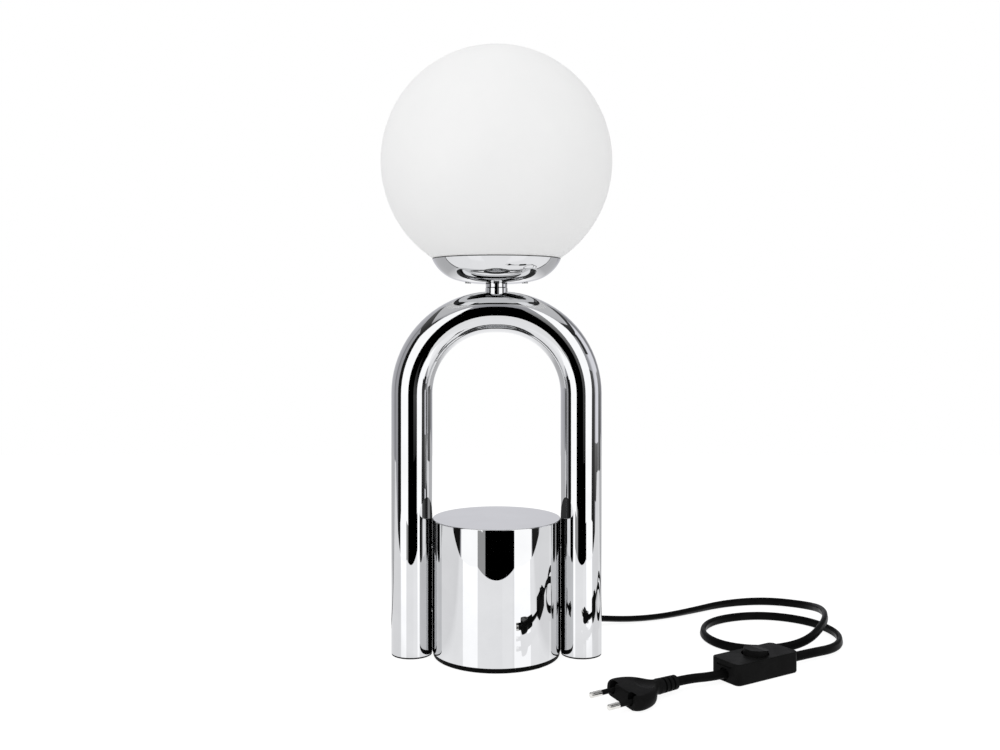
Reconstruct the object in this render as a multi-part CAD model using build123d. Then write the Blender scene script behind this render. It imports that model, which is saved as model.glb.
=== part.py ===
from build123d import *
import os
from math import acos, asin, cos, degrees, pi, radians, sin, sqrt, tan

# Table lamp: a chromed tube bent into an arch stands astride a chromed drum base.
# A dish on the crown carries an opal glass globe; a flat black cord leaves the right leg.
# Millimetres, Z up, X to the right, Y to the back; the lamp stands on Z = 0 at the origin.

# Arch tube
TUBE_RADIUS = 16.0
TUBE_WALL = 1.5
CROWN_FLAT = 4.8
BEND_START_Z = 202.9

# Foot plugs in the tube ends
FOOT_INSET = 0.3
FOOT_THICKNESS = 1.2
FOOT_SPIGOT_TOP = 5.4
FOOT_SPIGOT_WALL = 1.6

# Drum base
CAN_RADIUS = 50.0
CAN_WALL = 1.5
CAN_TOP_Z = 106.0
CAN_TOP_THICKNESS = 2.0
CAN_EDGE = 0.7
PAD_INSET = 0.7
PAD_THICKNESS = 4.0
PAD_EDGE = 1.1
PAD_FLOOR = 0.9
PLATE_THICKNESS = 2.0
WEIGHT_SPACE = 8.5
WEIGHT_HEIGHT = 50.0
WEIGHT_EDGE = 2.0
BOSS_RADIUS = 7.0
BOLT_RADIUS = 4.0
BOLT_HEAD_RADIUS = 8.0
BOLT_HEAD_HEIGHT = 2.8
BOLT_ENGAGEMENT = 16.0
BOLT_SOCKET = 5.0

# Bolts between drum and legs
LEG_BOLT_HEIGHTS = (34.0, 84.0)
LEG_BOLT_RADIUS = 2.5
LEG_BOLT_HEAD_RADIUS = 4.6
LEG_BOLT_HEAD_HEIGHT = 2.8
LEG_NUT_RADIUS = 4.5
LEG_NUT_LENGTH = 7.0

# Neck on the crown: hollow nipple, saddle nut inside the tube, two collars
NIPPLE_RADIUS = 5.0
NIPPLE_BORE = 3.9
NIPPLE_SUNK = 6.7
NIPPLE_LENGTH = 27.7
SADDLE_NUT_RADIUS = 8.0
SADDLE_RADIUS = 8.7
COLLAR_RADIUS = 8.4
SADDLE_HEIGHT = 2.8
COLLAR_HEIGHT = 2.9
COLLAR_EDGE = 0.4

# Dish under the globe
DISH_FLAT_RADIUS = 9.6
DISH_DEPTH = 19.2
DISH_KNUCKLE_RADIUS = 29.3
DISH_BELLY = 1.9
DISH_WALL = 0.8
DISH_RIM_GAP = 0.6

# Glass globe
GLOBE_RADIUS = 90.0
GLOBE_WALL = 3.0
GLOBE_NECK_RADIUS = 24.0
GLOBE_NECK_BORE = 20.5
GLOBE_NECK_DROP = 0.7
GLOBE_SEAT_GAP = 0.3
GLOBE_LIP = 1.0

# Carrier that the globe's neck turns into, with its two screws
CARRIER_HUB_RADIUS = 9.5
CARRIER_HEIGHT = 3.05
CARRIER_PLATE_THICKNESS = 1.0
CARRIER_RIM_WALL = 1.5
CARRIER_RIM_HEIGHT = 3.7
SCREW_SPREAD = 22.2
SCREW_RADIUS = 1.5
SCREW_HEAD_RADIUS = 2.3
SCREW_HEAD_PROUD = 0.3
WASHER_RADIUS = 8.8
WASHER_THICKNESS = 1.0
DISH_NUT_FLATS = 14.0
DISH_NUT_HEIGHT = 3.0

# Lampholder
HOLDER_NECK_RADIUS = 8.0
HOLDER_NECK_HEIGHT = 8.0
HOLDER_RADIUS = 13.6
HOLDER_WALL = 2.0
HOLDER_BASE_HEIGHT = 22.0
HOLDER_SHELL_HEIGHT = 23.5
HOLDER_FLANGE_RADIUS = 14.6
HOLDER_FLANGE_HEIGHT = 3.0
HOLDER_FLOOR = 2.5
SCREW_SHELL_WALL = 0.5
CONTACT_THICKNESS = 0.5
CONTACT_WIDTH = 4.0
CONTACT_LENGTH = 11.0
CONTACT_RISE = 1.25
TERMINAL_SIZE = (4.0, 5.0, 6.5)
TERMINAL_X = 6.8

# Bulb
BULB_TIP_RADIUS = 2.6
BULB_TIP_HEIGHT = 1.4
BULB_TIP_ROUND = 0.8
BULB_INSULATOR_HEIGHT = 2.5
BULB_CAP_RADIUS = 6.9
BULB_CAP_ROOT = 6.4
BULB_CAP_HEIGHT = 16.4
BULB_THREAD_PITCH = 2.8
BULB_THREAD_TURNS = 5
BULB_HOUSING_HEIGHT = 28.0
BULB_HOUSING_SWELL = 1.6
BULB_WAIST_RADIUS = 7.8
BULB_RADIUS = 17.5
BULB_BULGE = 18.0
BULB_BULGE_SHARE = 0.2
BULB_SHOULDER = 11.2
BULB_SHOULDER_SHARE = 0.62
BULB_LENGTH = 103.0
BULB_FOOT_LEAN = 0.1
BULB_TIP_LEAN = 0.25
BULB_DOME_WALL = 1.0

# Cord and its gland at the back of the right leg
CORD_RADIUS = 3.5
GLAND_Z = 12.0
GLAND_HOLE_RADIUS = 4.6
GLAND_FLANGE_RADIUS = 6.4
GLAND_FLANGE_THICKNESS = 2.0
GLAND_SLEEVE_LENGTH = 18.0
GLAND_SLEEVE_ROOT = 5.8
GLAND_SLEEVE_TIP = 4.7
GLAND_NUT_RADIUS = 5.8
GLAND_NUT_LENGTH = 3.0
GLAND_GROOVES = 4
GLAND_GROOVE_WIDTH = 1.4
GLAND_GROOVE_DEPTH = 0.7
LEAD_BEND = 11.0
LEAD_RISE = 3.5

# Route of the lamp cord over the table, between the gland and the switch
LAMP_CORD_ROUTE = [
    (73.8, 68.5, 8.5), (88.0, 78.0, 5.0), (115.0, 83.0, 3.5), (142.0, 91.0, 3.5),
    (170.0, 108.0, 3.5), (206.0, 133.0, 3.5), (246.0, 142.0, 3.5), (277.0, 117.0, 6.0),
    (279.0, 72.0, 13.5), (267.0, 34.0, 13.5), (243.0, 5.0, 6.0), (207.0, -6.0, 3.5),
    (176.0, 7.0, 3.5), (166.0, 42.0, 3.5), (184.0, 79.0, 3.5), (228.0, 96.0, 3.5),
    (267.0, 77.0, 3.5), (281.0, 38.0, 3.5), (268.0, 1.0, 4.0),
]
GLAND_LEAD_OUT = 17.5
CORD_LEAD_OUT = 25.0
CORD_ARC_SHARE = 0.45
CORD_SAMPLES = 240
CORD_APART = 30

# In-line switch
SWITCH_CENTRE = (190.0, -50.0)
SWITCH_TURN = 32.0
SWITCH_LENGTH = 62.0
SWITCH_WIDTH = 28.0
SWITCH_HEIGHT = 15.5
SWITCH_CORNER = 4.6
SWITCH_EDGE = 1.5
SWITCH_WALL = 2.6
SWITCH_RIM = 1.3
SWITCH_FLOOR = 1.8
SWITCH_LID = 2.2
SWITCH_SEAM = 0.15
SWITCH_CORD_Z = 6.0
SWITCH_MOUTH_RADIUS = 4.6
SWITCH_MOUTH_DEPTH = 1.5
SWITCH_MOUTH_SLOT = (15.0, 1.2)
SWITCH_SCREW_X = 20.0
SWITCH_SCREW_Y = 7.6
SWITCH_SCREW_RADIUS = 1.5
SWITCH_SCREW_HEAD = 2.6
SWITCH_BOSS_RADIUS = 2.9
SWITCH_TERMINAL_SIZE = (6.0, 7.0, 5.0)
SWITCH_TERMINAL_X = 12.5
SWITCH_BLADE_SIZE = (19.0, 4.0, 0.5)

# Rocker of the switch
ROCKER_RADIUS = 9.0
ROCKER_OPENING = 10.2
ROCKER_PIVOT_Z = 11.0
ROCKER_BOTTOM_Z = 9.2
ROCKER_TOP_Z = 19.6
ROCKER_HALF_SWING = 6.0
ROCKER_DRAFT = 0.5
TRUNNION_RADIUS = 1.2
TRUNNION_REACH = 11.2
TRUNNION_CLEARANCE = 0.08
BEARING_THICKNESS = 1.0
BEARING_WIDTH = 4.6
BEARING_DEPTH = 4.2
STEM_RADIUS = 1.6
STEM_BOTTOM_Z = 6.4

# Two-pin plug
PLUG_FACE = (84.2, -114.5)
PLUG_TURN = 213.8
PLUG_ROLL = -8.0
PLUG_WIDTH = 34.6
PLUG_HEIGHT = 10.6
PLUG_FACE_WIDTH = 29.0
PLUG_FACE_STEP = 3.0
PLUG_FACE_EDGE = 1.0
PLUG_SHOULDER = 11.0
PLUG_BODY_LENGTH = 33.0
PLUG_NECK_WIDTH = 10.8
PLUG_NECK_HEIGHT = 10.4
PLUG_HIP_SHARES = (0.32, 0.79)
PLUG_WAIST_SHARES = (0.64, 0.27)
PLUG_ROUND_SHARE = 0.46
PLUG_GRIP_RADIUS = 26.0
PLUG_GRIP_DEPTH = 1.3
PLUG_GRIP_X = -21.0
PLUG_CHANNEL_RADIUS = 2.7
PLUG_CHANNEL_LENGTH = 8.0
RELIEF_LENGTH = 16.0
RELIEF_ROOT = 5.4
RELIEF_TIP = 5.0
RELIEF_GROOVES = 3
RELIEF_GROOVE_WIDTH = 1.5
RELIEF_GROOVE_DEPTH = 1.2
PIN_SPACING = 18.8
PIN_RADIUS = 2.0
PIN_LENGTH = 19.0
PIN_CORE = 1.4
PIN_BARE = 9.0
PIN_TIP = 1.0
PIN_ROOT = 14.0
SLEEVE_RADIUS = 1.75
SLEEVE_ROOT = 11.0

# Fits
LEG_GAP = 0.1
SLIDE_FIT = 0.1
THREAD_FIT = 0.05
TRAVEL_GAP = 0.35

# Levels that follow from the sizes above
LEG_X = CAN_RADIUS + LEG_GAP + TUBE_RADIUS
BEND_RADIUS = LEG_X - CROWN_FLAT / 2
CROWN_Z = BEND_START_Z + BEND_RADIUS
CROWN_TOP_Z = CROWN_Z + TUBE_RADIUS
TUBE_BORE = TUBE_RADIUS - TUBE_WALL
FOOT_RADIUS = TUBE_RADIUS - FOOT_INSET
CAN_BORE = CAN_RADIUS - CAN_WALL
PAD_RADIUS = CAN_RADIUS - PAD_INSET
WEIGHT_RADIUS = CAN_BORE - WEIGHT_SPACE
CAN_CEILING_Z = CAN_TOP_Z - CAN_TOP_THICKNESS
PLATE_TOP_Z = PAD_THICKNESS + PLATE_THICKNESS
WEIGHT_TOP_Z = PLATE_TOP_Z + WEIGHT_HEIGHT
NIPPLE_BOTTOM_Z = CROWN_TOP_Z - NIPPLE_SUNK
NIPPLE_TOP_Z = NIPPLE_BOTTOM_Z + NIPPLE_LENGTH
COLLAR_SEAM_Z = CROWN_TOP_Z + SADDLE_HEIGHT
DISH_FLOOR_Z = COLLAR_SEAM_Z + COLLAR_HEIGHT
DISH_RIM_Z = DISH_FLOOR_Z + DISH_DEPTH
CARRIER_HUB_Z = DISH_FLOOR_Z + DISH_WALL
CARRIER_PLATE_TOP_Z = CARRIER_HUB_Z + CARRIER_HEIGHT
CARRIER_RIM_TOP_Z = CARRIER_PLATE_TOP_Z + CARRIER_RIM_HEIGHT
GLOBE_NECK_Z = CARRIER_PLATE_TOP_Z + GLOBE_SEAT_GAP
GLOBE_CENTRE_Z = GLOBE_NECK_Z + GLOBE_NECK_DROP + GLOBE_RADIUS
GLOBE_AT_RIM = sqrt(GLOBE_RADIUS**2 - (GLOBE_CENTRE_Z - DISH_RIM_Z)**2)
DISH_RADIUS = GLOBE_AT_RIM + DISH_RIM_GAP + DISH_WALL
WASHER_TOP_Z = CARRIER_PLATE_TOP_Z + WASHER_THICKNESS
HOLDER_BOTTOM_Z = WASHER_TOP_Z + DISH_NUT_HEIGHT
HOLDER_SPLIT_Z = HOLDER_BOTTOM_Z + HOLDER_BASE_HEIGHT
HOLDER_TOP_Z = HOLDER_SPLIT_Z + HOLDER_SHELL_HEIGHT
HOLDER_BORE = BULB_CAP_RADIUS + TRAVEL_GAP + SCREW_SHELL_WALL
CONTACT_TOP_Z = HOLDER_SPLIT_Z + HOLDER_FLOOR + CONTACT_RISE
BULB_TIP_Z = CONTACT_TOP_Z + TRAVEL_GAP
LEAD_TOP_Z = NIPPLE_TOP_Z + LEAD_RISE
GLAND_TIP_Y = TUBE_RADIUS + GLAND_FLANGE_THICKNESS + GLAND_SLEEVE_LENGTH
PLUG_ROUND = PLUG_HEIGHT * PLUG_ROUND_SHARE
PLUG_LOBE_LIFT = (PLUG_WIDTH / 2 - PLUG_ROUND) * sin(radians(abs(PLUG_ROLL)))
PLUG_AXIS_Z = (
    PLUG_LOBE_LIFT + (PLUG_HEIGHT / 2 - PLUG_ROUND) * cos(radians(PLUG_ROLL)) + PLUG_ROUND + SLIDE_FIT
)
SWITCH_PLACE = Pos(SWITCH_CENTRE[0], SWITCH_CENTRE[1], 0) * Rot(0, 0, SWITCH_TURN)
PLUG_PLACE = Pos(PLUG_FACE[0], PLUG_FACE[1], PLUG_AXIS_Z) * Rot(0, 0, PLUG_TURN) * Rot(PLUG_ROLL, 0, 0)

UPRIGHT = (Align.CENTER, Align.CENTER, Align.MIN)


def rod_z(radius, bottom, top, x=0.0, y=0.0):
    """Upright round rod."""
    return Pos(x, y, bottom) * Cylinder(radius, top - bottom, align=UPRIGHT)


def rod_x(radius, start, end, y=0.0, z=0.0):
    """Round rod along X."""
    return Pos(start, y, z) * Rot(0, 90, 0) * Cylinder(radius, end - start, align=UPRIGHT)


def rod_y(radius, start, end, x=0.0, z=0.0):
    """Round rod along Y."""
    return Pos(x, start, z) * Rot(-90, 0, 0) * Cylinder(radius, end - start, align=UPRIGHT)


def turned(*outline):
    """Body turned about the lamp's axis from points of radius and height."""
    return revolve(Plane.XZ * make_face(Polyline(*outline, close=True)), axis=Axis.Z)


def hex_bar(flats, bottom, top):
    """Upright hexagon bar given over its flats."""
    profile = Plane.XY.offset(bottom) * RegularPolygon(flats / 2, 6, major_radius=False)
    return extrude(profile, top - bottom)


def rounded_block(length, width, corner, bottom, top):
    """Upright block with rounded corners."""
    return extrude(Plane.XY.offset(bottom) * RectangleRounded(length, width, corner), top - bottom)


def arch_rod(radius):
    """Round bar that follows the arch from one foot over the crown to the other."""
    path = FilletPolyline(
        (-LEG_X, 0, FOOT_THICKNESS),
        (-LEG_X, 0, CROWN_Z),
        (LEG_X, 0, CROWN_Z),
        (LEG_X, 0, FOOT_THICKNESS),
        radius=BEND_RADIUS,
    )
    return sweep(Pos(-LEG_X, 0, FOOT_THICKNESS) * Circle(radius), path=path)


def corner_radii(points):
    """Arc radius for each corner of a route, from its shorter run and its turn."""
    radii = []
    for before, here, after in zip(points, points[1:], points[2:]):
        run_in = Vector(*here) - Vector(*before)
        run_out = Vector(*after) - Vector(*here)
        turn = radians(run_in.get_angle(run_out))
        shorter = min(run_in.length, run_out.length)
        radii.append(CORD_ARC_SHARE * shorter / tan(turn / 2))
    return radii


def least_self_gap(path):
    """Least gap between the skins of two stretches of a cord that lie apart along it."""
    spots = [path.position_at(step / CORD_SAMPLES) for step in range(CORD_SAMPLES + 1)]
    apart = int(CORD_SAMPLES * CORD_APART * CORD_RADIUS / path.length)
    gaps = [path.length]
    for index, spot in enumerate(spots):
        for other in spots[index + apart:]:
            gaps.append((spot - other).length - 2 * CORD_RADIUS)
    return min(gaps)


def cord(name, points, radii):
    """Round cord along straight runs joined by tangent arcs; prints its measures."""
    path = FilletPolyline(*points, radius=radii)
    start = Vector(*points[0])
    section = Plane(origin=start, z_dir=Vector(*points[1]) - start) * Circle(CORD_RADIUS)
    tube = sweep(section, path=path)
    expected = pi * CORD_RADIUS**2 * path.length
    print(name, "length", round(path.length, 1), "smallest radius", round(min(radii), 1),
          "volume ratio", round(tube.volume / expected, 4),
          "gap to itself", round(least_self_gap(path), 2))
    return tube


# Stand: the arch with its feet

arch_core = arch_rod(TUBE_BORE)
arch_solid = arch_rod(TUBE_RADIUS)
crown_hole = rod_z(NIPPLE_RADIUS + SLIDE_FIT, CROWN_Z, CROWN_TOP_Z)
gland_hole = rod_y(GLAND_HOLE_RADIUS, 0, TUBE_RADIUS, x=LEG_X, z=GLAND_Z)
bolt_reach = LEG_X - TUBE_BORE + LEG_NUT_LENGTH
leg_bolt_holes = []
for height in LEG_BOLT_HEIGHTS:
    leg_bolt_holes.append(rod_x(LEG_BOLT_RADIUS + SLIDE_FIT, -LEG_X, LEG_X, z=height))
arch_tube = arch_solid - arch_core - crown_hole - gland_hole - leg_bolt_holes

foot = rod_z(FOOT_RADIUS, 0, FOOT_THICKNESS) + rod_z(TUBE_BORE, FOOT_THICKNESS, FOOT_SPIGOT_TOP)
foot = foot - rod_z(TUBE_BORE - FOOT_SPIGOT_WALL, FOOT_THICKNESS, FOOT_SPIGOT_TOP)
left_foot = Pos(-LEG_X, 0, 0) * foot
right_foot = Pos(LEG_X, 0, 0) * foot

# Drum base, held together by one long bolt from below

can_outside = rod_z(CAN_RADIUS, PAD_THICKNESS, CAN_TOP_Z)
can_outside = fillet(can_outside.edges().sort_by(Axis.Z)[-1], CAN_EDGE)
base_can = can_outside - rod_z(CAN_BORE, PAD_THICKNESS, CAN_CEILING_Z) - leg_bolt_holes

can_boss = rod_z(BOSS_RADIUS, WEIGHT_TOP_Z, CAN_CEILING_Z)
can_boss = can_boss - rod_z(BOLT_RADIUS, WEIGHT_TOP_Z, WEIGHT_TOP_Z + BOLT_ENGAGEMENT)

base_weight = rod_z(WEIGHT_RADIUS, PLATE_TOP_Z, WEIGHT_TOP_Z)
base_weight = chamfer(base_weight.edges(), WEIGHT_EDGE)
base_weight = base_weight - rod_z(BOLT_RADIUS + SLIDE_FIT, PLATE_TOP_Z, WEIGHT_TOP_Z)

base_plate = rod_z(CAN_BORE - SLIDE_FIT, PAD_THICKNESS, PLATE_TOP_Z)
base_plate = base_plate - rod_z(BOLT_RADIUS + SLIDE_FIT, PAD_THICKNESS, PLATE_TOP_Z)

bolt_head_z = PAD_THICKNESS - BOLT_HEAD_HEIGHT
tie_bolt = rod_z(BOLT_RADIUS, PAD_THICKNESS, WEIGHT_TOP_Z + BOLT_ENGAGEMENT)
tie_bolt = tie_bolt + rod_z(BOLT_HEAD_RADIUS, bolt_head_z, PAD_THICKNESS)
tie_bolt = tie_bolt - hex_bar(BOLT_SOCKET, bolt_head_z, PAD_THICKNESS)

base_pad = fillet(rod_z(PAD_RADIUS, 0, PAD_THICKNESS).edges(), PAD_EDGE)
base_pad = base_pad - rod_z(BOLT_HEAD_RADIUS + SLIDE_FIT, PAD_FLOOR, PAD_THICKNESS)

leg_bolts = Part()
leg_nuts = Part()
leg_core = rod_z(TUBE_BORE, FOOT_THICKNESS, BEND_START_Z, x=LEG_X)
for height in LEG_BOLT_HEIGHTS:
    head_x = CAN_BORE - LEG_BOLT_HEAD_HEIGHT
    bolt = rod_x(LEG_BOLT_RADIUS, head_x, bolt_reach, z=height)
    head = rod_x(LEG_BOLT_HEAD_RADIUS, head_x, CAN_RADIUS, z=height)
    bolt = bolt + (head & rod_z(CAN_BORE, 0, CAN_TOP_Z))
    nut = rod_x(LEG_NUT_RADIUS, CAN_RADIUS, bolt_reach, z=height) & leg_core
    nut = nut - rod_x(LEG_BOLT_RADIUS, CAN_RADIUS, bolt_reach, z=height)
    leg_bolts = leg_bolts + bolt + Rot(0, 0, 180) * bolt
    leg_nuts = leg_nuts + nut + Rot(0, 0, 180) * nut

# Neck: the saddle pieces are cut to the bent tube, inside and outside

nipple = rod_z(NIPPLE_RADIUS, NIPPLE_BOTTOM_Z, NIPPLE_TOP_Z)
nipple = nipple - rod_z(NIPPLE_BORE, NIPPLE_BOTTOM_Z, NIPPLE_TOP_Z)

saddle_nut = rod_z(SADDLE_NUT_RADIUS, NIPPLE_BOTTOM_Z, CROWN_TOP_Z) & arch_core
saddle_nut = saddle_nut - rod_z(NIPPLE_RADIUS, NIPPLE_BOTTOM_Z, CROWN_TOP_Z)

neck_saddle = rod_z(SADDLE_RADIUS, CROWN_Z, COLLAR_SEAM_Z)
neck_saddle = chamfer(neck_saddle.edges().sort_by(Axis.Z)[-1], COLLAR_EDGE)
neck_saddle = neck_saddle - arch_solid - rod_z(NIPPLE_RADIUS + SLIDE_FIT, CROWN_Z, COLLAR_SEAM_Z)

neck_collar = rod_z(COLLAR_RADIUS, COLLAR_SEAM_Z, DISH_FLOOR_Z)
neck_collar = chamfer(neck_collar.edges().sort_by(Axis.Z)[0], COLLAR_EDGE)
neck_collar = neck_collar - rod_z(NIPPLE_RADIUS + SLIDE_FIT, COLLAR_SEAM_Z, DISH_FLOOR_Z)

# Dish: flat seat in the middle, a shallow belly around it, then a tighter curve up to the rim

dish_bore = NIPPLE_RADIUS + SLIDE_FIT
knuckle_rise = DISH_KNUCKLE_RADIUS + DISH_BELLY
knuckle_x = DISH_RADIUS - sqrt(DISH_KNUCKLE_RADIUS**2 - (knuckle_rise - DISH_DEPTH) ** 2)
knuckle_out = knuckle_x - DISH_FLAT_RADIUS
belly_radius = (knuckle_out**2 + knuckle_rise**2 - DISH_KNUCKLE_RADIUS**2) / (2 * DISH_BELLY)
belly_angle = degrees(asin(knuckle_out / (belly_radius - DISH_KNUCKLE_RADIUS)))


def dish_skin(shrink):
    """Belly and knuckle arcs of the dish, from its flat seat to its rim, moved in by an amount."""
    belly_centre = (DISH_FLAT_RADIUS, DISH_FLOOR_Z + belly_radius)
    knuckle_centre = (knuckle_x, DISH_FLOOR_Z + knuckle_rise)
    knuckle = DISH_KNUCKLE_RADIUS - shrink
    rim_angle = degrees(acos((knuckle_rise - DISH_DEPTH) / knuckle))
    return [
        CenterArc(belly_centre, belly_radius - shrink, 270, belly_angle),
        CenterArc(knuckle_centre, knuckle, 270 + belly_angle, rim_angle - belly_angle),
    ]


dish_outside = dish_skin(0)
dish_inside = dish_skin(DISH_WALL)
dish_outline = dish_outside + dish_inside
dish_outline += [
    Line(dish_outside[1] @ 1, dish_inside[1] @ 1),
    Polyline(
        (DISH_FLAT_RADIUS, CARRIER_HUB_Z),
        (dish_bore, CARRIER_HUB_Z),
        (dish_bore, DISH_FLOOR_Z),
        (DISH_FLAT_RADIUS, DISH_FLOOR_Z),
    ),
]
dish = revolve(Plane.XZ * make_face(dish_outline), axis=Axis.Z)
carrier_screw_holes = []
for side in (-1, 1):
    carrier_screw_holes.append(
        rod_z(SCREW_RADIUS, DISH_FLOOR_Z, CARRIER_PLATE_TOP_Z, x=side * SCREW_SPREAD)
    )
dish = dish - carrier_screw_holes

# Carrier with a rim around the globe's neck, its screws from below, washer and nut

carrier_plate_z = CARRIER_PLATE_TOP_Z - CARRIER_PLATE_THICKNESS
carrier_rim_bore = GLOBE_NECK_RADIUS + TRAVEL_GAP
carrier_rim_radius = carrier_rim_bore + CARRIER_RIM_WALL
globe_carrier = turned(
    (dish_bore, CARRIER_HUB_Z),
    (CARRIER_HUB_RADIUS, CARRIER_HUB_Z),
    (CARRIER_HUB_RADIUS, carrier_plate_z),
    (carrier_rim_radius, carrier_plate_z),
    (carrier_rim_radius, CARRIER_RIM_TOP_Z),
    (carrier_rim_bore, CARRIER_RIM_TOP_Z),
    (carrier_rim_bore, CARRIER_PLATE_TOP_Z),
    (dish_bore, CARRIER_PLATE_TOP_Z),
)
globe_carrier = globe_carrier - carrier_screw_holes

dish_filling = revolve(
    Plane.XZ
    * make_face(
        dish_outside
        + [
            Polyline(
                dish_outside[1] @ 1,
                (0, DISH_RIM_Z),
                (0, DISH_FLOOR_Z),
                (DISH_FLAT_RADIUS, DISH_FLOOR_Z),
            ),
        ]
    ),
    axis=Axis.Z,
)
screw_inner = SCREW_SPREAD - SCREW_HEAD_RADIUS - DISH_FLAT_RADIUS
screw_seat_z = DISH_FLOOR_Z + belly_radius - sqrt(belly_radius**2 - screw_inner**2)
carrier_screws = Part()
for side in (-1, 1):
    x = side * SCREW_SPREAD
    head = rod_z(SCREW_HEAD_RADIUS, screw_seat_z - SCREW_HEAD_PROUD, CARRIER_HUB_Z + DISH_WALL, x=x)
    shank = rod_z(SCREW_RADIUS, screw_seat_z, CARRIER_PLATE_TOP_Z, x=x)
    carrier_screws = carrier_screws + ((head - dish_filling) + shank)

dish_washer = rod_z(WASHER_RADIUS, CARRIER_PLATE_TOP_Z, WASHER_TOP_Z)
dish_washer = dish_washer - rod_z(dish_bore, CARRIER_PLATE_TOP_Z, WASHER_TOP_Z)
dish_nut = hex_bar(DISH_NUT_FLATS, WASHER_TOP_Z, HOLDER_BOTTOM_Z)
dish_nut = dish_nut - rod_z(NIPPLE_RADIUS + THREAD_FIT, WASHER_TOP_Z, HOLDER_BOTTOM_Z)

# Lampholder: wired base below, insulating shell above with its metal screw shell

holder_neck_z = HOLDER_BOTTOM_Z + HOLDER_NECK_HEIGHT
holder_flare = HOLDER_RADIUS - HOLDER_NECK_RADIUS
holder_base = turned(
    (NIPPLE_RADIUS + THREAD_FIT, HOLDER_BOTTOM_Z),
    (HOLDER_NECK_RADIUS, HOLDER_BOTTOM_Z),
    (HOLDER_NECK_RADIUS, holder_neck_z),
    (HOLDER_RADIUS, holder_neck_z + holder_flare),
    (HOLDER_RADIUS, HOLDER_SPLIT_Z),
    (HOLDER_RADIUS - HOLDER_WALL, HOLDER_SPLIT_Z),
    (HOLDER_RADIUS - HOLDER_WALL, holder_neck_z + holder_flare),
    (NIPPLE_RADIUS + THREAD_FIT, holder_neck_z),
)

holder_flange_z = HOLDER_TOP_Z - HOLDER_FLANGE_HEIGHT
holder_floor_z = HOLDER_SPLIT_Z + HOLDER_FLOOR
holder_shell = turned(
    (0, HOLDER_SPLIT_Z),
    (HOLDER_RADIUS, HOLDER_SPLIT_Z),
    (HOLDER_RADIUS, holder_flange_z),
    (HOLDER_FLANGE_RADIUS, holder_flange_z),
    (HOLDER_FLANGE_RADIUS, HOLDER_TOP_Z),
    (HOLDER_FLANGE_RADIUS - HOLDER_FLANGE_HEIGHT, HOLDER_TOP_Z),
    (HOLDER_BORE, holder_flange_z),
    (HOLDER_BORE, holder_floor_z),
    (0, holder_floor_z),
)
screw_shell_z = holder_floor_z + CONTACT_THICKNESS
holder_screw_shell = rod_z(HOLDER_BORE, screw_shell_z, holder_flange_z)
holder_screw_shell = holder_screw_shell - rod_z(
    HOLDER_BORE - SCREW_SHELL_WALL, screw_shell_z, holder_flange_z
)

contact_tail = -CONTACT_LENGTH / 2
contact_outline = Polyline(
    (contact_tail, holder_floor_z),
    (contact_tail / 2, holder_floor_z),
    (BULB_TIP_RADIUS / 2, CONTACT_TOP_Z - CONTACT_THICKNESS),
    (BULB_TIP_RADIUS, CONTACT_TOP_Z - CONTACT_THICKNESS),
    (BULB_TIP_RADIUS, CONTACT_TOP_Z),
    (BULB_TIP_RADIUS / 2 - CONTACT_THICKNESS, CONTACT_TOP_Z),
    (contact_tail / 2, holder_floor_z + CONTACT_THICKNESS),
    (contact_tail, holder_floor_z + CONTACT_THICKNESS),
    close=True,
)
holder_contact = extrude(Plane.XZ * make_face(contact_outline), CONTACT_WIDTH / 2, both=True)

holder_terminals = Part()
for side in (-1, 1):
    block = Pos(side * TERMINAL_X, 0, HOLDER_SPLIT_Z - TERMINAL_SIZE[2] / 2) * Box(*TERMINAL_SIZE)
    wire_hole = rod_z(TERMINAL_SIZE[0] / 4, HOLDER_SPLIT_Z - TERMINAL_SIZE[2], HOLDER_SPLIT_Z,
                      x=side * TERMINAL_X)
    holder_terminals = holder_terminals + (block - wire_hole)

# Bulb: contact tip, black insulator, threaded cap, white housing, opal candle dome

insulator_z = BULB_TIP_Z + BULB_TIP_HEIGHT
cap_z = insulator_z + BULB_INSULATOR_HEIGHT
cap_top_z = cap_z + BULB_CAP_HEIGHT
housing_top_z = cap_top_z + BULB_HOUSING_HEIGHT
bulb_top_z = BULB_TIP_Z + BULB_LENGTH

bulb_tip = rod_z(BULB_TIP_RADIUS, BULB_TIP_Z, insulator_z)
bulb_tip = fillet(bulb_tip.edges().sort_by(Axis.Z)[0], BULB_TIP_ROUND)
bulb_insulator = turned(
    (0, insulator_z), (BULB_TIP_RADIUS, insulator_z), (BULB_CAP_ROOT, cap_z), (0, cap_z)
)
cap_outline = [(0, cap_z), (BULB_CAP_ROOT, cap_z)]
for turn in range(BULB_THREAD_TURNS):
    ridge_z = cap_z + (turn + 0.5) * BULB_THREAD_PITCH
    cap_outline.append((BULB_CAP_RADIUS, ridge_z))
    cap_outline.append((BULB_CAP_ROOT, ridge_z + BULB_THREAD_PITCH / 2))
cap_outline += [(BULB_CAP_ROOT, cap_top_z), (0, cap_top_z)]
bulb_cap = turned(*cap_outline)
bulb_housing = revolve(
    Plane.XZ
    * make_face(
        [
            Line((0, cap_top_z), (BULB_WAIST_RADIUS, cap_top_z)),
            ThreePointArc(
                (BULB_WAIST_RADIUS, cap_top_z),
                ((BULB_WAIST_RADIUS + BULB_RADIUS) / 2 + BULB_HOUSING_SWELL, (cap_top_z + housing_top_z) / 2),
                (BULB_RADIUS, housing_top_z),
            ),
            Line((BULB_RADIUS, housing_top_z), (0, housing_top_z)),
            Line((0, housing_top_z), (0, cap_top_z)),
        ]
    ),
    axis=Axis.Z,
)
dome_height = bulb_top_z - housing_top_z


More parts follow.
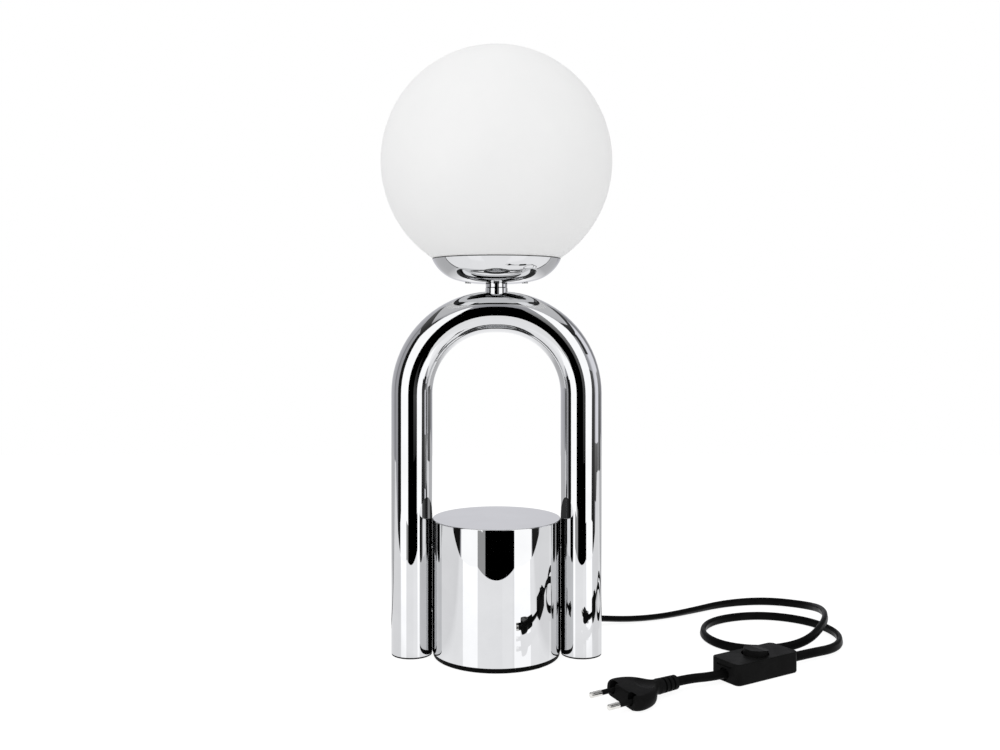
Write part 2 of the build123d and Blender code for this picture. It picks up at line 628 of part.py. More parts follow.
def candle(radius_shrink):
    """Candle-shaped solid on the housing, its skin moved in by the given amount."""
    foot_radius = BULB_RADIUS - radius_shrink
    tip_z = bulb_top_z - 2 * radius_shrink
    skin = Spline(
        (foot_radius, housing_top_z),
        (BULB_BULGE - radius_shrink, housing_top_z + dome_height * BULB_BULGE_SHARE),
        (BULB_SHOULDER - radius_shrink, housing_top_z + dome_height * BULB_SHOULDER_SHARE),
        (0, tip_z),
        tangents=((BULB_FOOT_LEAN, 1), (-1, BULB_TIP_LEAN)),
    )
    closing = Polyline((0, tip_z), (0, housing_top_z), (foot_radius, housing_top_z))
    return revolve(Plane.XZ * make_face([skin, closing]), axis=Axis.Z)


bulb_dome = candle(0.0) - candle(BULB_DOME_WALL)

# Globe: blown ball with a short straight neck, open below

globe_inner_radius = GLOBE_RADIUS - GLOBE_WALL
neck_angle = degrees(asin(GLOBE_NECK_RADIUS / GLOBE_RADIUS))
bore_angle = degrees(asin(GLOBE_NECK_BORE / globe_inner_radius))
globe_centre = (0, GLOBE_CENTRE_Z)
ball_skin = CenterArc(globe_centre, GLOBE_RADIUS, 90, neck_angle - 180)
ball_lining = CenterArc(globe_centre, globe_inner_radius, 90, bore_angle - 180)
neck_line = Polyline(
    ball_skin @ 1,
    (GLOBE_NECK_RADIUS, GLOBE_NECK_Z),
    (GLOBE_NECK_BORE, GLOBE_NECK_Z),
    ball_lining @ 1,
)
crown_line = Line(ball_skin @ 0, ball_lining @ 0)
globe_face = make_face([ball_skin, neck_line, ball_lining, crown_line])
globe_face = fillet(globe_face.vertices().sort_by(Axis.Y)[:2], GLOBE_LIP)
globe = revolve(Plane.XZ * globe_face, axis=Axis.Z)

# Gland at the back of the right leg: flange, ribbed sleeve outside, nut inside

sleeve_y = TUBE_RADIUS + GLAND_FLANGE_THICKNESS
groove_pitch = GLAND_SLEEVE_LENGTH / (GLAND_GROOVES + 1)
sleeve_profile = make_face(
    Polyline(
        (CORD_RADIUS, sleeve_y),
        (GLAND_SLEEVE_ROOT, sleeve_y),
        (GLAND_SLEEVE_TIP, GLAND_TIP_Y),
        (CORD_RADIUS, GLAND_TIP_Y),
        close=True,
    )
)
gland_sleeve = revolve(sleeve_profile, axis=Axis.Y)
for groove in range(GLAND_GROOVES):
    groove_y = sleeve_y + (groove + 1) * groove_pitch
    ring = rod_y(GLAND_SLEEVE_ROOT, groove_y, groove_y + GLAND_GROOVE_WIDTH)
    ring = ring - rod_y(GLAND_SLEEVE_TIP - GLAND_GROOVE_DEPTH, groove_y, groove_y + GLAND_GROOVE_WIDTH)
    gland_sleeve = gland_sleeve - ring
gland_flange = rod_y(GLAND_FLANGE_RADIUS, 0, sleeve_y)
gland_spigot = rod_y(GLAND_HOLE_RADIUS - SLIDE_FIT, TUBE_BORE - GLAND_NUT_LENGTH, sleeve_y)
gland_nut = rod_y(GLAND_NUT_RADIUS, TUBE_BORE - GLAND_NUT_LENGTH, TUBE_BORE)
leg_here = Pos(0, 0, -GLAND_Z) * rod_z(TUBE_RADIUS, 0, 2 * GLAND_Z)
leg_bore_here = Pos(0, 0, -GLAND_Z) * rod_z(TUBE_BORE, 0, 2 * GLAND_Z)
cord_gland = gland_sleeve + (gland_flange - leg_here) + gland_spigot + (gland_nut & leg_bore_here)
cord_gland = cord_gland - rod_y(CORD_RADIUS + SLIDE_FIT / 2, 0, GLAND_TIP_Y)
cord_gland = Pos(LEG_X, 0, GLAND_Z) * cord_gland

# Lead inside the lamp: in at the gland, up the leg, round the bend, into the nipple

bend_centre_x = LEG_X - BEND_RADIUS
leave_cos = (LEAD_BEND - bend_centre_x) / (BEND_RADIUS + LEAD_BEND)
leave_angle = degrees(acos(leave_cos))
leave_point = (
    bend_centre_x + BEND_RADIUS * leave_cos,
    0,
    BEND_START_Z + BEND_RADIUS * sin(radians(leave_angle)),
)
upright_z = BEND_START_Z + (BEND_RADIUS + LEAD_BEND) * sin(radians(leave_angle))
half_angle = radians(leave_angle / 2)
bend_middle = (
    bend_centre_x + BEND_RADIUS * cos(half_angle), 0, BEND_START_Z + BEND_RADIUS * sin(half_angle)
)
lead_run = [
    Line((LEG_X, GLAND_TIP_Y, GLAND_Z), (LEG_X, LEAD_BEND, GLAND_Z)),
    ThreePointArc(
        (LEG_X, LEAD_BEND, GLAND_Z),
        (LEG_X, LEAD_BEND * (1 - sin(pi / 4)), GLAND_Z + LEAD_BEND * (1 - cos(pi / 4))),
        (LEG_X, 0, GLAND_Z + LEAD_BEND),
    ),
    Line((LEG_X, 0, GLAND_Z + LEAD_BEND), (LEG_X, 0, BEND_START_Z)),
    ThreePointArc((LEG_X, 0, BEND_START_Z), bend_middle, leave_point),
    ThreePointArc(
        leave_point,
        (LEAD_BEND * (1 - cos(half_angle)), 0, upright_z - LEAD_BEND * sin(half_angle)),
        (0, 0, upright_z),
    ),
    Line((0, 0, upright_z), (0, 0, LEAD_TOP_Z)),
]
lead_path = Wire(lead_run)
lead_start = Plane(origin=(LEG_X, GLAND_TIP_Y, GLAND_Z), z_dir=(0, -1, 0))
inner_lead = sweep(lead_start * Circle(CORD_RADIUS), path=lead_path)

# In-line switch: tray with the cord mouths, lid let into its rim, rocker on two trunnions

lid_z = SWITCH_HEIGHT - SWITCH_LID
tray_outside = rounded_block(SWITCH_LENGTH, SWITCH_WIDTH, SWITCH_CORNER, 0, SWITCH_HEIGHT)
tray_outside = fillet(tray_outside.edges().group_by(Axis.Z)[0], SWITCH_EDGE)
tray_outside = fillet(tray_outside.edges().group_by(Axis.Z)[-1], SWITCH_RIM / 2)
tray_cavity = rounded_block(
    SWITCH_LENGTH - 2 * SWITCH_WALL,
    SWITCH_WIDTH - 2 * SWITCH_WALL,
    SWITCH_CORNER - SWITCH_WALL,
    SWITCH_FLOOR,
    SWITCH_HEIGHT,
)
lid_recess = rounded_block(
    SWITCH_LENGTH - 2 * SWITCH_RIM,
    SWITCH_WIDTH - 2 * SWITCH_RIM,
    SWITCH_CORNER - SWITCH_RIM,
    lid_z,
    SWITCH_HEIGHT,
)
switch_tray = tray_outside - tray_cavity - lid_recess
mouth_end = SWITCH_LENGTH / 2
mouth_floor = mouth_end - SWITCH_MOUTH_DEPTH
mouth_slot_z = SWITCH_CORD_Z + SWITCH_MOUTH_RADIUS + SWITCH_MOUTH_SLOT[1]
for side in (0, 180):
    mouth = rod_x(SWITCH_MOUTH_RADIUS, mouth_floor, mouth_end, z=SWITCH_CORD_Z)
    slot = Pos(mouth_end, 0, mouth_slot_z) * Box(SWITCH_MOUTH_DEPTH, *SWITCH_MOUTH_SLOT)
    switch_tray = switch_tray - Rot(0, 0, side) * mouth - Rot(0, 0, side) * slot

switch_lid = rounded_block(
    SWITCH_LENGTH - 2 * SWITCH_RIM - 2 * SWITCH_SEAM,
    SWITCH_WIDTH - 2 * SWITCH_RIM - 2 * SWITCH_SEAM,
    SWITCH_CORNER - SWITCH_RIM - SWITCH_SEAM,
    lid_z,
    SWITCH_HEIGHT,
)
switch_lid = switch_lid - rod_z(ROCKER_OPENING, lid_z, SWITCH_HEIGHT)
bearing_y = TRUNNION_REACH - BEARING_THICKNESS / 2 + SLIDE_FIT
for side in (-1, 1):
    bearing = Pos(0, side * bearing_y, lid_z - BEARING_DEPTH / 2) * Box(
        BEARING_WIDTH, BEARING_THICKNESS, BEARING_DEPTH
    )
    switch_lid = switch_lid + bearing
trunnion_bore = TRUNNION_RADIUS + TRUNNION_CLEARANCE
switch_lid = switch_lid - rod_y(trunnion_bore, -SWITCH_WIDTH / 2, SWITCH_WIDTH / 2, z=ROCKER_PIVOT_Z)

switch_screws = Part()
for side in (-1, 1):
    x = side * SWITCH_SCREW_X
    y = side * SWITCH_SCREW_Y
    boss = rod_z(SWITCH_BOSS_RADIUS, SWITCH_FLOOR, lid_z, x=x, y=y)
    thread = rod_z(SWITCH_SCREW_RADIUS, SWITCH_FLOOR, lid_z, x=x, y=y)
    head_hole = rod_z(SWITCH_SCREW_HEAD + SLIDE_FIT, 0, SWITCH_FLOOR / 2, x=x, y=y)
    shank_hole = rod_z(SWITCH_SCREW_RADIUS + SLIDE_FIT, 0, SWITCH_FLOOR, x=x, y=y)
    switch_lid = switch_lid + (boss - thread)
    switch_tray = switch_tray - head_hole - shank_hole
    screw_head = rod_z(SWITCH_SCREW_HEAD, SWITCH_FLOOR / 4, SWITCH_FLOOR / 2, x=x, y=y)
    screw_shank = rod_z(SWITCH_SCREW_RADIUS, SWITCH_FLOOR / 2, lid_z - SWITCH_LID, x=x, y=y)
    switch_screws = switch_screws + (screw_head + screw_shank)

rocker_middle_z = (ROCKER_BOTTOM_Z + ROCKER_TOP_Z) / 2
rocker_drum = turned(
    (0, ROCKER_BOTTOM_Z),
    (ROCKER_RADIUS - ROCKER_DRAFT, ROCKER_BOTTOM_Z),
    (ROCKER_RADIUS, rocker_middle_z),
    (ROCKER_RADIUS, ROCKER_TOP_Z),
    (0, ROCKER_TOP_Z),
)
rocker_drop = ROCKER_RADIUS * tan(radians(ROCKER_HALF_SWING))
rocker_roof = extrude(
    Plane.XZ
    * make_face(
        Polyline(
            (-ROCKER_RADIUS, ROCKER_BOTTOM_Z),
            (ROCKER_RADIUS, ROCKER_BOTTOM_Z),
            (ROCKER_RADIUS, ROCKER_TOP_Z - rocker_drop),
            (0, ROCKER_TOP_Z),
            (-ROCKER_RADIUS, ROCKER_TOP_Z - rocker_drop),
            close=True,
        )
    ),
    ROCKER_RADIUS,
    both=True,
)
switch_rocker = rocker_drum & rocker_roof
switch_rocker = switch_rocker + rod_y(TRUNNION_RADIUS, -TRUNNION_REACH, TRUNNION_REACH, z=ROCKER_PIVOT_Z)
switch_rocker = switch_rocker + rod_z(STEM_RADIUS, STEM_BOTTOM_Z, ROCKER_PIVOT_Z)
rocker_tilt = Pos(0, 0, ROCKER_PIVOT_Z) * Rot(0, ROCKER_HALF_SWING, 0) * Pos(0, 0, -ROCKER_PIVOT_Z)
switch_rocker = rocker_tilt * switch_rocker

switch_terminals = Part()
terminal_z = SWITCH_FLOOR + SWITCH_TERMINAL_SIZE[2] / 2
for side in (-1, 1):
    block = Pos(side * SWITCH_TERMINAL_X, 0, terminal_z) * Box(*SWITCH_TERMINAL_SIZE)
    wire_hole = rod_x(SWITCH_TERMINAL_SIZE[2] / 4, -SWITCH_LENGTH / 2, SWITCH_LENGTH / 2, z=terminal_z)
    switch_terminals = switch_terminals + (block - wire_hole)
blade_z = SWITCH_FLOOR + SWITCH_BLADE_SIZE[2] / 2
switch_contact = Pos(0, 0, blade_z) * Box(*SWITCH_BLADE_SIZE)

# Two-pin plug: rounded sections from the face to the neck, drawn into one moulded body

body_back = -PLUG_BODY_LENGTH
half_height = PLUG_HEIGHT / 2


def plug_section(back, share):
    """Rounded section at a distance behind the face; a share of 0 is the neck, 1 the full width."""
    width = PLUG_NECK_WIDTH + share * (PLUG_WIDTH - PLUG_NECK_WIDTH)
    height = PLUG_NECK_HEIGHT + share * (PLUG_HEIGHT - PLUG_NECK_HEIGHT)
    return Plane.YZ.offset(-back) * RectangleRounded(width, height, height * PLUG_ROUND_SHARE)


plug_sections = [
    plug_section(0, (PLUG_FACE_WIDTH - PLUG_NECK_WIDTH) / (PLUG_WIDTH - PLUG_NECK_WIDTH)),
    plug_section(PLUG_FACE_STEP, 1),
    plug_section(PLUG_SHOULDER, 1),
]
taper = PLUG_BODY_LENGTH - PLUG_SHOULDER
for along, share in (PLUG_HIP_SHARES, PLUG_WAIST_SHARES):
    plug_sections.append(plug_section(PLUG_SHOULDER + along * taper, share))
plug_sections.append(plug_section(PLUG_BODY_LENGTH, 0))
plug_body = loft(plug_sections)
plug_body = fillet(plug_body.faces().sort_by(Axis.X)[-1].edges(), PLUG_FACE_EDGE)
grip_z = half_height + PLUG_GRIP_RADIUS - PLUG_GRIP_DEPTH
for side in (-1, 1):
    plug_body = plug_body - Pos(PLUG_GRIP_X, 0, side * grip_z) * Sphere(PLUG_GRIP_RADIUS)

relief_end = body_back - RELIEF_LENGTH
relief_profile = make_face(
    Polyline(
        (body_back, 0), (body_back, RELIEF_ROOT), (relief_end, RELIEF_TIP), (relief_end, 0), close=True
    )
)
relief = revolve(relief_profile, axis=Axis.X)
relief_pitch = RELIEF_LENGTH / (RELIEF_GROOVES + 1)
for groove in range(RELIEF_GROOVES):
    groove_x = body_back - (groove + 1) * relief_pitch
    ring = rod_x(RELIEF_ROOT, groove_x - RELIEF_GROOVE_WIDTH / 2, groove_x + RELIEF_GROOVE_WIDTH / 2)
    core = rod_x(RELIEF_TIP - RELIEF_GROOVE_DEPTH, relief_end, body_back)
    relief = relief - (ring - core)
plug_body = plug_body + relief

plug_pins = Part()
plug_sleeves = Part()
sleeve_end = PIN_LENGTH - PIN_BARE
for side in (-1, 1):
    y = side * PIN_SPACING / 2
    bare = fillet(rod_x(PIN_RADIUS, sleeve_end, PIN_LENGTH, y=y).edges().sort_by(Axis.X)[-1], PIN_TIP)
    core = rod_x(PIN_CORE, -PIN_ROOT, sleeve_end, y=y)
    sleeve = rod_x(SLEEVE_RADIUS, -SLEEVE_ROOT, sleeve_end, y=y) - core
    plug_pins = plug_pins + (bare + core)
    plug_sleeves = plug_sleeves + sleeve
    channel = rod_x(PLUG_CHANNEL_RADIUS, -PLUG_CHANNEL_LENGTH, 0, y=y)
    channel_top = Box(
        PLUG_CHANNEL_LENGTH, 2 * PLUG_CHANNEL_RADIUS, half_height, align=(Align.MAX, Align.CENTER, Align.MIN)
    )
    plug_body = plug_body - channel - Pos(0, y, 0) * channel_top
    plug_body = plug_body - rod_x(SLEEVE_RADIUS, -SLEEVE_ROOT, 0, y=y)
    plug_body = plug_body - rod_x(PIN_CORE, -PIN_ROOT, 0, y=y)

# Cords on the table: gland to switch, switch to plug

switch_right = (SWITCH_PLACE * Pos(mouth_floor, 0, SWITCH_CORD_Z)).position
switch_right_ahead = (SWITCH_PLACE * Pos(mouth_floor + CORD_LEAD_OUT, 0, SWITCH_CORD_Z)).position
switch_left = (SWITCH_PLACE * Pos(-mouth_floor, 0, SWITCH_CORD_Z)).position
switch_left_ahead = (SWITCH_PLACE * Pos(-mouth_floor - CORD_LEAD_OUT / 2, 0, SWITCH_CORD_Z)).position
plug_end = (PLUG_PLACE * Pos(relief_end, 0, 0)).position
plug_end_ahead = (PLUG_PLACE * Pos(relief_end - CORD_LEAD_OUT / 2, 0, 0)).position
lamp_route = [(LEG_X, GLAND_TIP_Y, GLAND_Z), (LEG_X, GLAND_TIP_Y + GLAND_LEAD_OUT, GLAND_Z)]
lamp_route += LAMP_CORD_ROUTE
lamp_route += [tuple(switch_right_ahead), tuple(switch_right)]
plug_route = [tuple(switch_left), tuple(switch_left_ahead), tuple(plug_end_ahead), tuple(plug_end)]
lamp_cord = cord("lamp cord", lamp_route, corner_radii(lamp_route))
plug_cord = cord("plug cord", plug_route, corner_radii(plug_route))

# Every piece in its place

pieces = {
    "arch_tube": arch_tube,
    "left_foot": left_foot,
    "right_foot": right_foot,
    "base_can": base_can,
    "can_boss": can_boss,
    "base_weight": base_weight,
    "base_plate": base_plate,
    "tie_bolt": tie_bolt,
    "base_pad": base_pad,
    "leg_bolts": leg_bolts,
    "leg_nuts": leg_nuts,
    "nipple": nipple,
    "saddle_nut": saddle_nut,
    "neck_saddle": neck_saddle,
    "neck_collar": neck_collar,
    "dish": dish,
    "globe_carrier": globe_carrier,
    "carrier_screws": carrier_screws,
    "dish_washer": dish_washer,
    "dish_nut": dish_nut,
    "holder_base": holder_base,
    "holder_shell": holder_shell,
    "holder_screw_shell": holder_screw_shell,
    "holder_contact": holder_contact,
    "holder_terminals": holder_terminals,
    "bulb_tip": bulb_tip,
    "bulb_insulator": bulb_insulator,
    "bulb_cap": bulb_cap,
    "bulb_housing": bulb_housing,
    "bulb_dome": bulb_dome,
    "globe": globe,
    "cord_gland": cord_gland,
    "inner_lead": inner_lead,
    "lamp_cord": lamp_cord,
    "plug_cord": plug_cord,
    "switch_tray": SWITCH_PLACE * switch_tray,
    "switch_lid": SWITCH_PLACE * switch_lid,
    "switch_rocker": SWITCH_PLACE * switch_rocker,
    "switch_screws": SWITCH_PLACE * switch_screws,
    "switch_terminals": SWITCH_PLACE * switch_terminals,
    "switch_contact": SWITCH_PLACE * switch_contact,
    "plug_body": PLUG_PLACE * plug_body,
    "plug_pins": PLUG_PLACE * plug_pins,
    "plug_sleeves": PLUG_PLACE * plug_sleeves,
}
os.makedirs("parts", exist_ok=True)
for name, shape in pieces.items():
    export_step(shape, f"parts/{name}.step")
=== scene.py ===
import math

import bpy
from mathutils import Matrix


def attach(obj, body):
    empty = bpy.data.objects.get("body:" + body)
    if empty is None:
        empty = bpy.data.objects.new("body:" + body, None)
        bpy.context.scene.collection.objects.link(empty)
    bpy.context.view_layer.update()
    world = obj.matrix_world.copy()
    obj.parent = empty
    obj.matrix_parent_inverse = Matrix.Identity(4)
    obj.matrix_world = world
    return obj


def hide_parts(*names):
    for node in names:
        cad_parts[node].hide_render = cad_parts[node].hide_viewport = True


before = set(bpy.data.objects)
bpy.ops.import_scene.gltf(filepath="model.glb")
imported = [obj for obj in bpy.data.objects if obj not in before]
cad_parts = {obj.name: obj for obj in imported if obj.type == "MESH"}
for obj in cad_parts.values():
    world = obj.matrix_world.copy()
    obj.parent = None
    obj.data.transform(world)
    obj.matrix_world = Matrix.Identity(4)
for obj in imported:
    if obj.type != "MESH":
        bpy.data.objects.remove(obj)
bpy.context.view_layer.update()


# Arch tube: one length of 32 mm steel tube, bent over into two legs and a crown,
# polished to a mirror and chrome plated. Every other piece is fixed to it.

def new_effect(name, settings, results):
    """Shader node group with named settings and results, still empty inside."""
    effect = bpy.data.node_groups.new(name, "ShaderNodeTree")
    for title, value in settings.items():
        kind = "NodeSocketColor" if isinstance(value, tuple) else "NodeSocketFloat"
        socket = effect.interface.new_socket(title, in_out="INPUT", socket_type=kind)
        socket.default_value = value
    for title, kind in results.items():
        effect.interface.new_socket(title, in_out="OUTPUT", socket_type=kind)
    given = effect.nodes.new("NodeGroupInput").outputs
    made = effect.nodes.new("NodeGroupOutput").inputs
    return effect, given, made


def add_node(tree, kind, inputs, **options):
    """Shader node with its options; an input takes a plain value or another node's socket."""
    node = tree.nodes.new("ShaderNode" + kind)
    for option, value in options.items():
        setattr(node, option, value)
    for title, value in inputs.items():
        if isinstance(value, bpy.types.NodeSocket):
            tree.links.new(value, node.inputs[title])
        else:
            node.inputs[title].default_value = value
    return node


def two_tone(tree, share, first, second):
    """Colour that runs from the first tone to the second by a share of 0 to 1."""
    return add_node(tree, "Mix", {0: share, 6: first, 7: second}, data_type="RGBA").outputs[2]


def grow(tree, value, start, end):
    """Share that grows from 0 to 1 while a value goes from start to end."""
    return add_node(tree, "MapRange", {"Value": value, "From Min": start, "From Max": end}).outputs[0]


def reckon(tree, operation, *values):
    """Result of one Math node."""
    return add_node(tree, "Math", dict(enumerate(values)), operation=operation).outputs[0]


def new_finish(name, sockets):
    """Material with one Principled shader; plain values sit on the shader's own sockets."""
    finish = bpy.data.materials.new(name)
    finish.use_nodes = True
    shader = finish.node_tree.nodes["Principled BSDF"]
    for title, value in sockets.items():
        shader.inputs[title].default_value = value
    return finish


def lay_effect(finish, effect, settings, relief_depth, relief_strength):
    """Puts a surface effect into a finish: its colour, roughness and fine relief."""
    tree = finish.node_tree
    shader = tree.nodes["Principled BSDF"]
    laid = tree.nodes.new("ShaderNodeGroup")
    laid.node_tree = effect
    for title, value in settings.items():
        laid.inputs[title].default_value = value
    tree.links.new(laid.outputs["Colour"], shader.inputs["Base Color"])
    tree.links.new(laid.outputs["Roughness"], shader.inputs["Roughness"])
    relief = add_node(tree, "Bump", {
        "Height": laid.outputs["Height"],
        "Distance": relief_depth,
        "Strength": relief_strength,
    })
    tree.links.new(relief.outputs["Normal"], shader.inputs["Normal"])


def dress(finish, *names):
    """Gives the lamp's own solids their finish."""
    for name in names:
        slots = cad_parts[name].data.materials
        slots.clear()
        slots.append(finish)


polish, given, made = new_effect(
    "plated_polish",
    {
        "Mark scale": 60.0,
        "Sharpest": 0.02,
        "Dullest": 0.05,
        "Bright": (0.9, 0.9, 0.92, 1.0),
        "Dim": (0.86, 0.87, 0.89, 1.0),
    },
    {"Colour": "NodeSocketColor", "Roughness": "NodeSocketFloat", "Height": "NodeSocketFloat"},
)
spot = add_node(polish, "TexCoord", {}).outputs["Object"]
haze = add_node(polish, "TexNoise", {
    "Vector": spot, "Scale": given["Mark scale"], "Detail": 4.0, "Roughness": 0.6,
}).outputs[0]
smear = grow(polish, haze, 0.35, 0.65)
dulled = add_node(polish, "MapRange", {
    "Value": smear, "To Min": given["Sharpest"], "To Max": given["Dullest"],
}).outputs[0]
swell_scale = reckon(polish, "MULTIPLY", given["Mark scale"], 0.5)
swell = add_node(polish, "TexNoise", {
    "Vector": spot, "Scale": swell_scale, "Detail": 1.0,
}).outputs[0]
polish.links.new(two_tone(polish, smear, given["Bright"], given["Dim"]), made["Colour"])
polish.links.new(dulled, made["Roughness"])
polish.links.new(swell, made["Height"])

chrome = new_finish("polished_chrome", {"Metallic": 1.0})
lay_effect(chrome, polish, {
    "Mark scale": 45.0,
    "Sharpest": 0.0,
    "Dullest": 0.02,
    "Bright": (0.7, 0.705, 0.715, 1.0),
    "Dim": (0.67, 0.675, 0.685, 1.0),
}, relief_depth=0.0001, relief_strength=0.005)
dress(chrome, "arch_tube")


# Foot plugs: black plastic caps, injection moulded, pressed into the open ends of the tube.
# Only their thin flange shows, as a dark line under each leg.

grain, given, made = new_effect(
    "moulded_grain",
    {
        "Grain scale": 1500.0,
        "Patch scale": 40.0,
        "Colour": (0.02, 0.02, 0.02, 1.0),
        "Rubbed": (0.03, 0.03, 0.03, 1.0),
        "Smoothest": 0.35,
        "Roughest": 0.5,
    },
    {"Colour": "NodeSocketColor", "Roughness": "NodeSocketFloat", "Height": "NodeSocketFloat"},
)
spot = add_node(grain, "TexCoord", {}).outputs["Object"]
patches = add_node(grain, "TexNoise", {
    "Vector": spot, "Scale": given["Patch scale"], "Detail": 5.0, "Roughness": 0.65,
}).outputs[0]
rubbed = grow(grain, patches, 0.4, 0.7)
sheen = add_node(grain, "MapRange", {
    "Value": rubbed, "To Min": given["Roughest"], "To Max": given["Smoothest"],
}).outputs[0]
pits = add_node(grain, "TexNoise", {
    "Vector": spot, "Scale": given["Grain scale"], "Detail": 2.0, "Roughness": 0.5,
}).outputs[0]
grain.links.new(two_tone(grain, rubbed, given["Colour"], given["Rubbed"]), made["Colour"])
grain.links.new(sheen, made["Roughness"])
grain.links.new(pits, made["Height"])

foot_plastic = new_finish("foot_plastic", {"Specular IOR Level": 0.03})
lay_effect(foot_plastic, grain, {
    "Grain scale": 1800.0,
    "Colour": (0.006, 0.006, 0.006, 1.0),
    "Rubbed": (0.01, 0.01, 0.01, 1.0),
}, relief_depth=0.00005, relief_strength=0.3)
dress(foot_plastic, "left_foot", "right_foot")


# Drum base: a deep drawn steel can with a closed top, chrome plated like the tube.
# It stands between the legs and hides the weight.

dress(chrome, "base_can")


# Base weight: a plain block of grey iron, sand cast and left raw inside the can.
# It keeps the top-heavy lamp standing.

cast_iron = new_finish("cast_iron", {"Metallic": 0.6, "Roughness": 0.75})
tree = cast_iron.node_tree
spot = add_node(tree, "TexCoord", {}).outputs["Object"]
sand = add_node(tree, "TexNoise", {
    "Vector": spot, "Scale": 420.0, "Detail": 6.0, "Roughness": 0.7,
}).outputs[0]
skin = two_tone(tree, sand, (0.05, 0.05, 0.055, 1.0), (0.17, 0.165, 0.16, 1.0))
tree.links.new(skin, tree.nodes["Principled BSDF"].inputs["Base Color"])
relief = add_node(tree, "Bump", {"Height": sand, "Distance": 0.0006, "Strength": 0.6})
tree.links.new(relief.outputs["Normal"], tree.nodes["Principled BSDF"].inputs["Normal"])
dress(cast_iron, "base_weight")


# Boss, plate, tie bolt, leg bolts and leg nuts: turned and pressed steel, zinc plated.
# The tie bolt clamps plate and weight to the boss; four bolts hold the legs to the can.

zinc_steel = new_finish("zinc_steel", {"Metallic": 1.0})
lay_effect(zinc_steel, polish, {
    "Mark scale": 220.0,
    "Sharpest": 0.22,
    "Dullest": 0.42,
    "Bright": (0.62, 0.63, 0.65, 1.0),
    "Dim": (0.5, 0.51, 0.5, 1.0),
}, relief_depth=0.0001, relief_strength=0.15)
dress(zinc_steel, "can_boss", "base_plate", "tie_bolt", "leg_bolts", "leg_nuts")


# Base pad: a disc of black rubber with rounded edges, glued under the can.
# It stands a little inside the can, so a thin shadow line parts the two.

pad_rubber = new_finish("pad_rubber", {"Specular IOR Level": 0.02})
lay_effect(pad_rubber, grain, {
    "Grain scale": 900.0,
    "Patch scale": 90.0,
    "Colour": (0.003, 0.003, 0.003, 1.0),
    "Rubbed": (0.005, 0.005, 0.005, 1.0),
    "Smoothest": 0.3,
    "Roughest": 0.48,
}, relief_depth=0.00008, relief_strength=0.3)
dress(pad_rubber, "base_pad")


# Neck: a hollow threaded nipple stands in the crown, held by a nut shaped to the tube inside.
# Outside, a saddle and a collar of chromed brass carry the dish.

dress(zinc_steel, "nipple", "saddle_nut")
dress(chrome, "neck_saddle", "neck_collar")


# Dish: a shallow bowl spun from sheet steel, chrome plated.
# The globe stands in it, and its rim ends in a plain cut edge.

dress(chrome, "dish")


# Carrier with its two screws, washer and nut: the turned alloy seat for the globe's neck.
# The nut on the nipple clamps carrier and dish to the collar.

carrier_alloy = new_finish("carrier_alloy", {"Metallic": 1.0})
lay_effect(carrier_alloy, polish, {
    "Mark scale": 300.0,
    "Sharpest": 0.25,
    "Dullest": 0.4,
    "Bright": (0.72, 0.73, 0.74, 1.0),
    "Dim": (0.62, 0.63, 0.64, 1.0),
}, relief_depth=0.0001, relief_strength=0.1)
dress(carrier_alloy, "globe_carrier")
dress(zinc_steel, "carrier_screws", "dish_washer", "dish_nut")


# Lampholder: base and shell moulded in black heat-proof plastic, screwed on the nipple.
# The screw shell, centre contact and terminals inside are plain brass.

holder_plastic = new_finish("holder_plastic", {"Specular IOR Level": 0.35})
lay_effect(holder_plastic, grain, {
    "Grain scale": 1200.0,
    "Colour": (0.022, 0.022, 0.022, 1.0),
    "Rubbed": (0.035, 0.034, 0.033, 1.0),
    "Smoothest": 0.5,
    "Roughest": 0.65,
}, relief_depth=0.00006, relief_strength=0.3)
dress(holder_plastic, "holder_base", "holder_shell")

brass = new_finish("plain_brass", {"Metallic": 1.0})
lay_effect(brass, polish, {
    "Mark scale": 260.0,
    "Sharpest": 0.2,
    "Dullest": 0.38,
    "Bright": (0.78, 0.6, 0.29, 1.0),
    "Dim": (0.62, 0.45, 0.2, 1.0),
}, relief_depth=0.0001, relief_strength=0.1)
dress(brass, "holder_screw_shell", "holder_contact", "holder_terminals")


# Bulb: a candle lamp with a small screw cap of nickel-plated brass and a black insulator.
# A white plastic housing carries the moulded opal dome.

nickel = new_finish("nickel_plate", {"Metallic": 1.0})
lay_effect(nickel, polish, {
    "Mark scale": 240.0,
    "Sharpest": 0.12,
    "Dullest": 0.25,
    "Bright": (0.78, 0.77, 0.74, 1.0),
    "Dim": (0.68, 0.67, 0.64, 1.0),
}, relief_depth=0.0001, relief_strength=0.08)
dress(nickel, "bulb_cap")
dress(brass, "bulb_tip")
dress(holder_plastic, "bulb_insulator")

housing_plastic = new_finish("housing_plastic", {"Specular IOR Level": 0.4})
lay_effect(housing_plastic, grain, {
    "Grain scale": 1400.0,
    "Colour": (0.82, 0.82, 0.8, 1.0),
    "Rubbed": (0.86, 0.86, 0.84, 1.0),
    "Smoothest": 0.4,
    "Roughest": 0.5,
}, relief_depth=0.00005, relief_strength=0.2)
dress(housing_plastic, "bulb_housing")

opal_plastic = new_finish("opal_plastic", {
    "Subsurface Weight": 0.3,
    "Subsurface Radius": (0.004, 0.004, 0.0035),
    "Specular IOR Level": 0.4,
})
lay_effect(opal_plastic, grain, {
    "Grain scale": 1600.0,
    "Colour": (0.86, 0.85, 0.8, 1.0),
    "Rubbed": (0.88, 0.87, 0.83, 1.0),
    "Smoothest": 0.35,
    "Roughest": 0.45,
}, relief_depth=0.00004, relief_strength=0.15)
dress(opal_plastic, "bulb_dome")


# Globe: a ball of cased opal glass, blown in a mould and etched to a satin skin.
# Its short neck drops into the carrier, and it lifts straight off.

